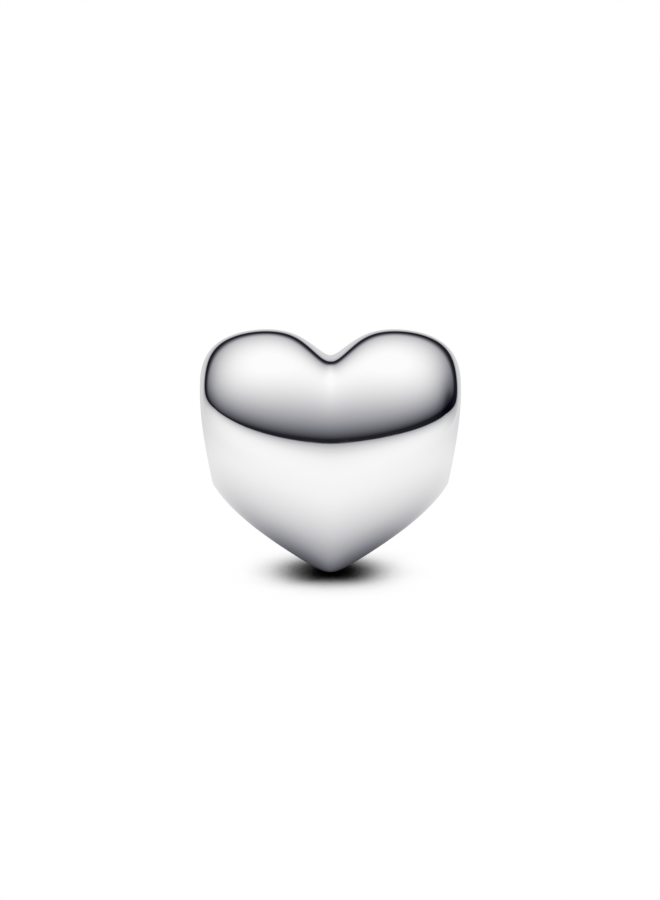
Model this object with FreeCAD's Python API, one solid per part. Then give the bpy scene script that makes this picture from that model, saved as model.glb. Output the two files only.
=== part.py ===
"""A puffed heart charm in polished silver: one casting, with a bore from side to side for a bracelet.

X runs along the bore, Y from front to back and Z up. The origin is the middle of the bore.
The body is a row of upright oval sections across the bore. Each oval is an upper and a lower
half-ellipse that meet on the widest line. A cleft between the lobes softly caps the ovals' tops.
"""
import FreeCAD, Part
import math
import os

# Overall sizes, in millimetres
charm_width = 12.0
charm_depth = 8.6

# Bore for the bracelet
bore_diameter = 4.4
mouth_rounding = 0.2

# Heart outline seen from the front, with heights from the sides' widest point
widest_height = 1.45
crown_rise = 3.49
tip_drop = 7.94
tip_radius = 0.83
flank_angle = 33.2

# Cleft between the lobes: a rounded valley from front to back, with its height from the bore
cleft_height = 3.68
cleft_radius = 0.28
cleft_angle = 49.8
cleft_softness = 1.37

# How far the widest line sinks from the sides to the middle of the face
belly_drop = 1.47

# Fullness of the outlines: 2 is an ellipse, and more is squarer
crown_fullness = 3.33
shoulder_fullness = 4.6
plan_fullness = 4.4

# Fineness of the model: sections across the bore, points on half of each one, how far short of the
# sides the outer sections stop, and how near the bore's wall an edge must be to count as on it
section_count = 23
points_per_half = 12
end_gap = 0.001
wall_tolerance = 0.001

half_width = charm_width / 2
half_depth = charm_depth / 2
bore_radius = bore_diameter / 2


def fullness(share, exponent):
    """Height of a unit superellipse at this share of its half-width."""
    return (1 - share ** exponent) ** (1 / exponent)


def rounded_vee(x, angle, radius):
    """Rise of two straight slopes at this angle, which meet at x = 0 in this radius."""
    slope = math.tan(math.radians(angle))
    return slope * (math.hypot(x, slope * radius) - slope * radius)


def crown_height(x):
    """The arch over both lobes, before the cleft."""
    return widest_height + crown_rise * fullness(abs(x) / half_width, crown_fullness)


def bottom_height(x):
    """Two straight flanks that meet in a rounded tip and turn up to the sides over a full shoulder."""
    drop = tip_drop - rounded_vee(x, flank_angle, tip_radius)
    return widest_height - drop * fullness(abs(x) / half_width, shoulder_fullness)


def cleft_floor(x):
    """The valley between the lobes, the same from front to back."""
    return cleft_height + rounded_vee(x, cleft_angle, cleft_radius)


def softly_capped(height, cap):
    """This height where it is well under the cap, and the cap where it is well over."""
    return (height + cap - math.hypot(height - cap, cleft_softness)) / 2


def middle_height(x):
    """The widest line, which sinks from the sides towards the middle of the face."""
    return widest_height - belly_drop * (1 - (x / half_width) ** 2)


def depth_at(x):
    """Half the depth from front to back, on the widest line."""
    return half_depth * fullness(abs(x) / half_width, plan_fullness)


def oval_section(x):
    """One closed oval across the bore, as a smooth curve that starts and ends under the bore."""
    middle = middle_height(x)
    upper = crown_height(x) - middle
    lower = middle - bottom_height(x)
    points = []
    for step in range(2 * points_per_half):
        angle = math.pi * (step / points_per_half - 0.5)
        rise = upper if math.sin(angle) > 0 else lower
        height = softly_capped(middle + rise * math.sin(angle), cleft_floor(x))
        points.append(FreeCAD.Vector(x, depth_at(x) * math.cos(angle), height))
    curve = Part.BSplineCurve()
    curve.interpolate(Points=points, PeriodicFlag=True, Parameters=list(range(len(points) + 1)))
    return Part.Wire(curve.toShape())


def puffed_heart():
    """The whole body before drilling. Sections crowd towards the sides, where the outlines turn."""
    last_angle = math.asin(1 - end_gap / half_width)
    sections = []
    for index in range(section_count):
        angle = last_angle * (2 * index / (section_count - 1) - 1)
        sections.append(oval_section(half_width * math.sin(angle)))
    return Part.makeLoft(sections, True, False)


def bracelet_bore():
    """The drill, longer than the charm is wide."""
    start = FreeCAD.Vector(-charm_width, 0, 0)
    return Part.makeCylinder(bore_radius, 2 * charm_width, start, FreeCAD.Vector(1, 0, 0))


def is_mouth_edge(edge):
    """True for the edges where the bore breaks out of the sides."""
    first, last = edge.ParameterRange
    middle = edge.valueAt((first + last) / 2)
    on_wall = abs(math.hypot(middle.y, middle.z) - bore_radius) < wall_tolerance
    return on_wall and abs(middle.x) > half_width / 2


def drilled_heart():
    """The finished casting, with its mouths rounded so that they don't cut the bracelet."""
    body = puffed_heart().cut(bracelet_bore())
    mouths = [edge for edge in body.Edges if is_mouth_edge(edge)]
    return body.makeFillet(mouth_rounding, mouths)


os.makedirs("parts", exist_ok=True)
heart = drilled_heart()
heart.exportStep("parts/heart_charm.step")

box = heart.optimalBoundingBox()
print("size", round(box.XLength, 3), round(box.YLength, 3), round(box.ZLength, 3))
print("height range", round(box.ZMin, 3), round(box.ZMax, 3))
print("volume", round(heart.Volume, 2), "valid", heart.isValid(), "solids", len(heart.Solids))
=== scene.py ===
"""Dresses the silver heart charm: a fine polished skin, a white table and a soft studio.

The skin follows the same formulas as the part's source. The polish is a near mirror, so the look
comes from what surrounds the charm: a white sheet low down, a wide light overhead, and a dark gap
between them. The charm stays upright here. In the photograph it leans back on the table, so the
table and the studio are tilted under it by the same angle instead.
"""
import math
import bpy
import numpy as np
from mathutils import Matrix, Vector


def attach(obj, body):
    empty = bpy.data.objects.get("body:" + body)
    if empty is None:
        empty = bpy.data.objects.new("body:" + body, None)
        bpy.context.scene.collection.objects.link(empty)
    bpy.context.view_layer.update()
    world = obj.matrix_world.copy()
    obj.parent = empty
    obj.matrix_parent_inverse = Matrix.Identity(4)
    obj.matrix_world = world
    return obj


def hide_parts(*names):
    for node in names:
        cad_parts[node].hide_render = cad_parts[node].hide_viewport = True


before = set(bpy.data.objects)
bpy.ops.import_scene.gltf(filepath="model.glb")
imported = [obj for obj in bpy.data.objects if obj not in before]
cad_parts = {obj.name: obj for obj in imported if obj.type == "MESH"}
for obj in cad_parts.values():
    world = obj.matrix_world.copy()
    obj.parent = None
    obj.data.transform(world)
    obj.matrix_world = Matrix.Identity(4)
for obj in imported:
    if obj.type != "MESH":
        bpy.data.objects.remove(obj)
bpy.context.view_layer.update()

MM = 0.001

# Overall sizes, in millimetres, as in the part's source
charm_width = 12.0
charm_depth = 8.6
bore_diameter = 4.4
mouth_rounding = 0.2
widest_height = 1.45
crown_rise = 3.49
tip_drop = 7.94
tip_radius = 0.83
flank_angle = 33.2
cleft_height = 3.68
cleft_radius = 0.28
cleft_angle = 49.8
cleft_softness = 1.37
belly_drop = 1.47
crown_fullness = 3.33
shoulder_fullness = 4.6
plan_fullness = 4.4

# Fineness of the skin: rows round the bore, and points on half of each row
row_count = 320
skin_points = 130
mouth_points = 8
wall_points = 6

# Finding the skin: trial points along half a row, halvings of each span, the shares of half the
# width between which the mouths lie, and the least height that a division may have under it
profile_steps = 1500
halvings = 40
mouth_search = (0.5, 0.99999)
least_height = 1e-9

# The metal: how rough the skin is, from its clearest spots to its haziest, and how rough the bore is
skin_roughness = (0.015, 0.05)
bore_roughness = 0.28
skin_color = (0.97, 0.97, 0.97, 1)
bore_color = (0.86, 0.85, 0.84, 1)

# The haze that polishing leaves: noise cells to the metre, and the part of the noise that counts
haze_cells = 900.0
haze_detail = 3.0
haze_span = (0.3, 0.7)

# The finest scratches: noise cells to the metre, drawn out along one slanting line, and their height
# in millimetres
scratch_cells = 2600.0
scratch_detail = 4.0
scratch_turn = (0.4, 0.7, 0.2)
scratch_squeeze = (1.0, 0.12, 1.0)
scratch_strength = 0.02
scratch_height = 0.01

# How far the charm leans back on the round table, in degrees, and the table's radius in millimetres
lean = 15.0
table_radius = 30.0
table_corners = 96
paint_color = (0.9, 0.9, 0.9, 1)

# The overhead light hangs behind the charm by this many degrees, as its sheen and its shadow show
light_setback = 9.0
shadow_setback = 22.0

# The table's painted shadow, a grey by its openness to the light, which the charm blocks up to this
# many millimetres away: as the camera sees it, and as the polish mirrors it in a painted reflection
shadow_reach = 10.0
shadow_greys = [(0.2, 0), (0.27, 0.01), (0.33, 0.17), (0.38, 0.49), (0.44, 0.84), (0.5, 0.98), (0.55, 1)]
mirrored_reach = 20.0
mirrored_greys = [(0.15, 0), (0.4, 0.16), (0.55, 0.34), (0.7, 0.56), (0.9, 0.89), (1, 0.96)]
openness_samples = 32

# What the polish mirrors, in degrees above the table by degrees round from the front: where the
# white sheet ends, where the light starts over the dark gap, and where it is full
sheet_edge = [(0, 8.5), (45, 8.5), (80, 4), (100, 0), (125, -6), (145, -8), (170, 4), (180, 4)]
light_start = [(0, 9.5), (45, 9.5), (80, 5), (100, 1), (125, -5), (145, 0), (170, 11), (180, 11)]
light_full = [(0, 12), (45, 12), (80, 9), (100, 6), (125, 3), (150, 27), (170, 26), (180, 25)]

# In degrees, how much lower the sheet ends at the far right, and how soft its edge is each way
sheet_drop_right = 7.0
edge_softness = 0.5

# How bright the sheet is by degrees below its edge, how brightly it is lit in front of the charm and
# behind it, and where the table's painted reflection takes over that light, in millimetres from the charm
sheet_fall = [(0, 0.38), (3, 0.66), (8, 0.91), (14, 0.95), (20, 0.96)]
sheet_light_levels = (1.0, 0.70)
table_fade = (5.0, 25.0)

# How bright the light is by the cosine of the angle from its middle
dome_cosines = (0.045, 1.0)
dome_levels = (0.0, 1.03)

# How bright the light is towards the sides, from the far left at -1 to the far right at 1, and the
# little light that is left in the dark gap
light_across = [(-1, 0.66), (-0.9, 0.78), (-0.5, 0.86), (-0.1, 1), (0.1, 0.99), (0.4, 0.86), (0.7, 0.69),
                (0.9, 0.43), (1, 0.04)]
room_level = 0.015

# Greys turn slightly blue in the shade: levels of grey, and the blue that each one gains
shade_blue = [(0, 0.004), (0.25, 0.033), (0.6, 0.015), (1, 0)]

# The camera, as fitted to the photograph: degrees above the charm's own level, and millimetres
camera_elevation = 5.0
camera_distance = 700.0
frame_height = 41.28
bore_above_centre = 0.917
bore_right_of_centre = 0.018
sensor_height = 24.0
nearest_seen = 10.0
farthest_seen = 100000.0

half_width = charm_width / 2
half_depth = charm_depth / 2
bore_radius = bore_diameter / 2
table_normal = Vector((0, -math.sin(math.radians(lean)), math.cos(math.radians(lean))))


def fullness(share, exponent):
    """Height of a unit superellipse at this share of its half-width."""
    return (1 - share ** exponent) ** (1 / exponent)


def rounded_vee(x, angle, radius):
    """Rise of two straight slopes at this angle, which meet at x = 0 in this radius."""
    slope = math.tan(math.radians(angle))
    return slope * (np.hypot(x, slope * radius) - slope * radius)


def crown_height(x):
    """The arch over both lobes, before the cleft."""
    return widest_height + crown_rise * fullness(np.abs(x) / half_width, crown_fullness)


def bottom_height(x):
    """Two straight flanks that meet in a rounded tip and turn up to the sides over a full shoulder."""
    drop = tip_drop - rounded_vee(x, flank_angle, tip_radius)
    return widest_height - drop * fullness(np.abs(x) / half_width, shoulder_fullness)


def cleft_floor(x):
    """The valley between the lobes, the same from front to back."""
    return cleft_height + rounded_vee(x, cleft_angle, cleft_radius)


def middle_height(x):
    """The widest line, which sinks from the sides towards the middle of the face."""
    return widest_height - belly_drop * (1 - (x / half_width) ** 2)


def depth_at(x):
    """Half the depth from front to back, on the widest line."""
    return half_depth * fullness(np.abs(x) / half_width, plan_fullness)


def is_inside(x, r, turn):
    """True where the point at x, this far out from the bore's axis and this far round, is in the metal.

    The cleft lowers the ovals softly. Undoing that gives the height on the oval itself.
    """
    y = r * np.sin(turn)
    z = r * np.cos(turn)
    under_cleft = np.maximum(cleft_floor(x) - z, least_height)
    oval_height = z + cleft_softness ** 2 / (4 * under_cleft) - middle_height(x)
    upper = crown_height(x) - middle_height(x)
    lower = middle_height(x) - bottom_height(x)
    reach = np.where(oval_height > 0, upper, lower)
    return (y / depth_at(x)) ** 2 + (oval_height / reach) ** 2 < 1


def halved(is_near, near, far):
    """Where the test stops being true between near and far, found by halving the span."""
    for _ in range(halvings):
        guess = (near + far) / 2
        still_near = is_near(guess)
        near = np.where(still_near, guess, near)
        far = np.where(still_near, far, guess)
    return near


def mouth_distance(turn):
    """How far from the middle the skin comes down to the bore, this far round from upright."""
    near, far = (half_width * share for share in mouth_search)
    return halved(lambda x: is_inside(x, bore_radius, turn), near, far)


def skin_radius(x, turn):
    """Distance from the bore's axis to the skin at each x, this far round from upright."""
    near = np.full_like(x, bore_radius)
    return halved(lambda r: is_inside(x, r, turn), near, near + tip_drop)


def even_spacing(x, r, count):
    """The same line with this many points at even distances along it."""
    length = np.concatenate([[0], np.cumsum(np.hypot(np.diff(x), np.diff(r)))])
    places = np.linspace(0, length[-1], count)
    return np.interp(places, length, x), np.interp(places, length, r)


def half_row(turn):
    """Half a section through the bore's axis: skin, rounded mouth and wall, as distances along and out.

    The rounding is an arc whose middle lies one radius inside both the skin and the wall.
    """
    x = mouth_distance(turn) * np.sin(np.linspace(0, math.pi / 2, profile_steps))
    r = skin_radius(x, turn)
    run, rise = np.gradient(x), np.gradient(r)
    steep = np.hypot(run, rise)
    inner_x = x + mouth_rounding * rise / steep
    inner_r = r - mouth_rounding * run / steep
    clear = np.nonzero(inner_r > bore_radius + mouth_rounding)[0][-1]
    centre_x, centre_r = inner_x[clear], bore_radius + mouth_rounding
    skin_x, skin_r = even_spacing(x[:clear + 1], r[:clear + 1], skin_points)
    start = math.atan2(r[clear] - centre_r, x[clear] - centre_x)
    angles = np.linspace(start, -math.pi / 2, mouth_points + 1)[1:]
    mouth_x = centre_x + mouth_rounding * np.cos(angles)
    mouth_r = centre_r + mouth_rounding * np.sin(angles)
    wall_x = np.linspace(centre_x, 0, wall_points + 1)[1:]
    wall_r = np.full_like(wall_x, bore_radius)
    return np.concatenate([skin_x, mouth_x, wall_x]), np.concatenate([skin_r, mouth_r, wall_r])


def closed_row(turn):
    """One half row and its mirror image, this far round from upright, as points in space."""
    x, r = half_row(turn)
    x = np.concatenate([x, -x[-2:0:-1]])
    r = np.concatenate([r, r[-2:0:-1]])
    return np.column_stack([x, r * math.sin(turn), r * math.cos(turn)])


def add_mesh(name, points, faces):
    """A new object in the scene, from points in millimetres."""
    mesh = bpy.data.meshes.new(name)
    mesh.from_pydata((points * MM).tolist(), [], faces)
    piece = bpy.data.objects.new(name, mesh)
    bpy.context.collection.objects.link(piece)
    return piece


def heart_skin():
    """The whole surface as a ring of closed rows round the bore, so that no point is a pole."""
    rows = [closed_row(turn) for turn in np.linspace(0, 2 * math.pi, row_count, endpoint=False)]
    per_row = len(rows[0])
    faces = []
    for row in range(row_count):
        here = row * per_row
        there = (row + 1) % row_count * per_row
        for k in range(per_row):
            following = (k + 1) % per_row
            faces.append((here + k, here + following, there + following, there + k))
    skin = add_mesh("heart_skin", np.concatenate(rows), faces)
    skin.data.validate()
    skin.data.shade_smooth()
    return skin


def new_material(name):
    """A material with an empty node tree."""
    material = bpy.data.materials.new(name)
    material.use_nodes = True
    material.node_tree.nodes.clear()
    return material


def set_or_link(tree, socket, value):
    """Gives a socket a plain value, or links another node's output to it."""
    if isinstance(value, bpy.types.NodeSocket):
        tree.links.new(value, socket)
    else:
        socket.default_value = value


def set_surface(tree, kind, shader):
    """Ends a node tree with this shader on an output of this kind."""
    tree.links.new(shader, tree.nodes.new(kind).inputs["Surface"])


def add_color_ramp(tree, value, interpolation, stops):
    """Colors over a value from 0 to 1, by these (place, color) stops."""
    ramp = tree.nodes.new("ShaderNodeValToRGB")
    ramp.color_ramp.interpolation = interpolation
    elements = ramp.color_ramp.elements
    while len(elements) < len(stops):
        elements.new(0.5)
    for element, (place, color) in zip(elements, stops):
        element.position = place
        element.color = color
    tree.links.new(value, ramp.inputs[0])
    return ramp.outputs[0]


def add_soft_greys(tree, value, stops):
    """Greys over a value from 0 to 1, on a soft curve led by these (place, grey) stops."""
    stops = [(place, (grey, grey, grey, 1)) for place, grey in stops]
    return add_color_ramp(tree, value, "B_SPLINE", stops)


def cool_grey(tree, level):
    """A grey of this level, which turns slightly blue in the shade as studio greys do."""
    stops = [(grey, (grey, grey, grey + blue, 1)) for grey, blue in shade_blue]
    return add_color_ramp(tree, level, "LINEAR", stops)


def add_range(tree, value, source, target=(0.0, 1.0), smooth=False):
    """A value carried from one span to another, and held at its ends, with soft ends if smooth."""
    node = tree.nodes.new("ShaderNodeMapRange")
    node.interpolation_type = "SMOOTHSTEP" if smooth else "LINEAR"
    for name, number in zip(("From Min", "From Max", "To Min", "To Max"), source + target):
        node.inputs[name].default_value = number
    tree.links.new(value, node.inputs["Value"])
    return node.outputs[0]


def add_profile(tree, value, stops):
    """A soft curve led by these stops, which may run over any span and to any height."""
    places, heights = zip(*stops)
    span = (places[0], places[-1])
    lowest, highest = min(heights), max(heights)
    shares = [((place - span[0]) / (span[1] - span[0]), (height - lowest) / (highest - lowest))
              for place, height in stops]
    share = add_soft_greys(tree, add_range(tree, value, span), shares)
    return add_range(tree, share, (0.0, 1.0), (lowest, highest))


def add_math(tree, operation, *values):
    """A maths node on one or two values, each a number or another node's output."""
    node = tree.nodes.new("ShaderNodeMath")
    node.operation = operation
    for socket, value in zip(node.inputs, values):
        set_or_link(tree, socket, value)
    return node.outputs[0]


def add_vector_math(tree, operation, *vectors):
    """The outputs of a vector maths node on one or two vectors."""
    node = tree.nodes.new("ShaderNodeVectorMath")
    node.operation = operation
    for socket, vector in zip(node.inputs, vectors):
        set_or_link(tree, socket, vector)
    return node.outputs


def add_tilt(tree, vector, angle):
    """A vector turned about X by this many degrees."""
    node = tree.nodes.new("ShaderNodeVectorRotate")
    node.rotation_type = "X_AXIS"
    node.inputs["Angle"].default_value = math.radians(angle)
    tree.links.new(vector, node.inputs["Vector"])
    return node.outputs[0]


def split_place(tree, coordinate):
    """The X, Y and Z of a place or direction."""
    parts = tree.nodes.new("ShaderNodeSeparateXYZ")
    tree.links.new(coordinate, parts.inputs[0])
    return parts.outputs["X"], parts.outputs["Y"], parts.outputs["Z"]


def add_mix(tree, kind, share, first, second):
    """The first value or color where the share is 0, and the second where it is 1."""
    node = tree.nodes.new("ShaderNodeMix")
    node.data_type = kind
    for name, value in (("Factor", share), ("A", first), ("B", second)):
        set_or_link(tree, node.inputs[name], value)
    return node.outputs["Result"]


def add_choice(tree, share, first, second):
    """The first shader where the share is 0, and the second where it is 1."""
    node = tree.nodes.new("ShaderNodeMixShader")
    for socket, value in zip(node.inputs, (share, first, second)):
        tree.links.new(value, socket)
    return node.outputs[0]


def add_glow(tree, color):
    """A surface that is just this bright, however it is lit."""
    glow = tree.nodes.new("ShaderNodeEmission")
    tree.links.new(color, glow.inputs["Color"])
    return glow.outputs[0]


def add_noise(tree, place, cells, detail):
    """Random variation from 0 to 1, in this many cells to the metre."""
    noise = tree.nodes.new("ShaderNodeTexNoise")
    noise.inputs["Scale"].default_value = cells
    noise.inputs["Detail"].default_value = detail
    tree.links.new(place, noise.inputs["Vector"])
    return noise.outputs["Fac"]


def share_in_bore(tree, place):
    """0 on the skin and 1 on the bore's wall, by the distance from the bore's axis."""
    _, y, z = split_place(tree, place)
    across = add_math(tree, "POWER", y, 2.0)
    up = add_math(tree, "POWER", z, 2.0)
    from_axis = add_math(tree, "SQRT", add_math(tree, "ADD", across, up))
    return add_range(tree, from_axis, ((bore_radius + mouth_rounding) * MM, bore_radius * MM))


def fine_scratches(tree, place):
    """The surface's direction, barely disturbed by the finest scratches."""
    stretched = tree.nodes.new("ShaderNodeMapping")
    stretched.inputs["Rotation"].default_value = scratch_turn
    stretched.inputs["Scale"].default_value = scratch_squeeze
    tree.links.new(place, stretched.inputs["Vector"])
    relief = tree.nodes.new("ShaderNodeBump")
    relief.inputs["Strength"].default_value = scratch_strength
    relief.inputs["Distance"].default_value = scratch_height * MM
    scratches = add_noise(tree, stretched.outputs[0], scratch_cells, scratch_detail)
    tree.links.new(scratches, relief.inputs["Height"])
    return relief.outputs["Normal"]


def polished_silver():
    """Near-mirror silver: faint polishing haze on the skin, and a duller, darker bore."""
    material = new_material("polished_silver")
    tree = material.node_tree
    place = tree.nodes.new("ShaderNodeTexCoord").outputs["Object"]
    in_bore = share_in_bore(tree, place)
    haze = add_noise(tree, place, haze_cells, haze_detail)
    gloss = add_range(tree, haze, haze_span, skin_roughness)
    shader = tree.nodes.new("ShaderNodeBsdfPrincipled")
    shader.inputs["Metallic"].default_value = 1.0
    tree.links.new(add_mix(tree, "FLOAT", in_bore, gloss, bore_roughness), shader.inputs["Roughness"])
    tree.links.new(add_mix(tree, "RGBA", in_bore, skin_color, bore_color), shader.inputs["Base Color"])
    tree.links.new(fine_scratches(tree, place), shader.inputs["Normal"])
    set_surface(tree, "ShaderNodeOutputMaterial", shader.outputs[0])
    return material


def sheet_light_level(tree, backward):
    """The sheet's light: whitest in front of the charm, greyer behind; painted light on the mirrored table.
    Backward runs from -1 to 1.
    """
    return add_range(tree, backward, (-1.0, 1.0), sheet_light_levels)


def add_openness(tree, reach, setback):
    """How open a place is to a light that hangs this many degrees behind, past what stands within reach."""
    openness = tree.nodes.new("ShaderNodeAmbientOcclusion")
    openness.samples = openness_samples
    openness.inputs["Distance"].default_value = reach * MM
    normal = tree.nodes.new("ShaderNodeNewGeometry").outputs["Normal"]
    tree.links.new(add_tilt(tree, normal, -setback), openness.inputs["Normal"])
    return openness.outputs["AO"]


def painted_table_reflection(tree):
    """The table in the polish, a painted reflection: painted shadow under the charm, and painted light
    greying to the far sheet at its edges.
    """
    near = add_soft_greys(tree, add_openness(tree, mirrored_reach, 0.0), mirrored_greys)
    place = tree.nodes.new("ShaderNodeTexCoord").outputs["Object"]
    distance = add_vector_math(tree, "LENGTH", place)["Value"]
    _, backward, _ = split_place(tree, add_vector_math(tree, "NORMALIZE", place)["Vector"])
    fade = tuple(length * MM for length in table_fade)
    # Painted light: towards its edges the mirrored table takes on the far sheet's light level
    far = add_range(tree, distance, fade, smooth=True)
    tone = add_mix(tree, "FLOAT", far, 1.0, sheet_light_level(tree, backward))
    return cool_grey(tree, add_math(tree, "MULTIPLY", near, tone))


def white_table():
    """A painted shadow for the camera, a painted reflection in the polish, and plain white paint for all
    other light.
    """
    material = new_material("white_table")
    tree = material.node_tree
    ray = tree.nodes.new("ShaderNodeLightPath").outputs
    paint = tree.nodes.new("ShaderNodeBsdfDiffuse")
    paint.inputs["Color"].default_value = paint_color
    clear = tree.nodes.new("ShaderNodeBsdfTransparent").outputs[0]
    # Painted shadow: the camera sees a glow whose grey follows the table's openness to the light
    shadow = add_soft_greys(tree, add_openness(tree, shadow_reach, shadow_setback), shadow_greys)
    in_polish = add_math(tree, "MAXIMUM", ray["Is Glossy Ray"], ray["Is Transmission Ray"])
    look = add_choice(tree, in_polish, paint.outputs[0], add_glow(tree, painted_table_reflection(tree)))
    look = add_choice(tree, ray["Is Camera Ray"], look, add_glow(tree, shadow))
    below = tree.nodes.new("ShaderNodeNewGeometry").outputs["Backfacing"]
    set_surface(tree, "ShaderNodeOutputMaterial", add_choice(tree, below, look, clear))
    return material


def add_table(skin):
    """A round sheet, centred where it touches the skin's lowest point. It is clear from below."""
    touching = min((vertex.co for vertex in skin.data.vertices), key=table_normal.dot)
    angles = np.linspace(0, 2 * math.pi, table_corners, endpoint=False)
    rim = np.column_stack([np.cos(angles), np.sin(angles), np.zeros(table_corners)]) * table_radius
    table = add_mesh("table", rim, [list(range(table_corners))])
    table.location = (0, touching.y, touching.z)
    table.rotation_euler.x = math.radians(lean)
    table.data.materials.append(white_table())


def overhead_level(tree, direction, around, elevation):
    """The light overhead: full above, weaker towards the sides, and gone in the dark gap."""
    setback = math.radians(light_setback)
    middle = (0, math.sin(setback), math.cos(setback))
    cosine = add_vector_math(tree, "DOT_PRODUCT", direction, middle)["Value"]
    dome = add_range(tree, cosine, dome_cosines, dome_levels)
    start = add_profile(tree, around, light_start)
    above = add_math(tree, "SUBTRACT", elevation, start)
    fade = add_math(tree, "SUBTRACT", add_profile(tree, around, light_full), start)
    shown = add_range(tree, add_math(tree, "DIVIDE", above, fade), (0.0, 1.0), smooth=True)
    light = add_math(tree, "ADD", add_math(tree, "MULTIPLY", dome, shown), room_level)
    x, _, _ = split_place(tree, direction)
    return add_math(tree, "MULTIPLY", light, add_profile(tree, x, light_across))


def studio_level(tree, direction):
    """How bright the studio is in a direction: white sheet, then dark gap, then the light overhead."""
    x, y, z = split_place(tree, direction)
    elevation = add_math(tree, "DEGREES", add_math(tree, "ARCSINE", z))
    forward = add_math(tree, "MULTIPLY", y, -1.0)
    sideways = add_math(tree, "ABSOLUTE", x)
    around = add_math(tree, "DEGREES", add_math(tree, "ARCTAN2", sideways, forward))
    drop = add_math(tree, "MULTIPLY", add_math(tree, "MAXIMUM", x, 0.0), sheet_drop_right)
    edge = add_math(tree, "SUBTRACT", add_profile(tree, around, sheet_edge), drop)
    depth = add_math(tree, "SUBTRACT", edge, elevation)
    sheet = add_math(tree, "MULTIPLY", add_profile(tree, depth, sheet_fall), sheet_light_level(tree, y))
    on_sheet = add_range(tree, depth, (-edge_softness, edge_softness), smooth=True)
    return add_mix(tree, "FLOAT", on_sheet, overhead_level(tree, direction, around, elevation), sheet)


def add_studio():
    """The surroundings as the polish mirrors them, and plain white for the camera."""
    world = bpy.data.worlds.new("studio")
    bpy.context.scene.world = world
    world.use_nodes = True
    tree = world.node_tree
    tree.nodes.clear()
    direction = add_tilt(tree, tree.nodes.new("ShaderNodeTexCoord").outputs["Generated"], -lean)
    room = cool_grey(tree, studio_level(tree, direction))
    by_camera = tree.nodes.new("ShaderNodeLightPath").outputs["Is Camera Ray"]
    light = tree.nodes.new("ShaderNodeBackground")
    tree.links.new(add_mix(tree, "RGBA", by_camera, room, (1, 1, 1, 1)), light.inputs["Color"])
    set_surface(tree, "ShaderNodeOutputWorld", light.outputs[0])


def add_camera():
    """A long lens from a little above, straight from the front."""
    camera = bpy.data.objects.new("camera", bpy.data.cameras.new("camera"))
    bpy.context.collection.objects.link(camera)
    lens = camera.data
    lens.sensor_fit = "VERTICAL"
    lens.sensor_height = sensor_height
    lens.lens = sensor_height * camera_distance / frame_height
    lens.clip_start = nearest_seen * MM
    lens.clip_end = farthest_seen * MM
    tilt = math.radians(camera_elevation)
    away = Vector((0, -math.cos(tilt), math.sin(tilt)))
    up = Vector((0, math.sin(tilt), math.cos(tilt)))
    aim = (Vector((-bore_right_of_centre, 0, 0)) - up * bore_above_centre) * MM
    camera.location = aim + away * camera_distance * MM
    camera.rotation_euler = (-away).to_track_quat("-Z", "Y").to_euler()
    bpy.context.scene.camera = camera


skin = heart_skin()
skin.data.materials.append(polished_silver())
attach(skin, "root")
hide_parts("heart_charm")
add_table(skin)
add_studio()
add_camera()
bpy.context.scene.view_settings.view_transform = "Standard"
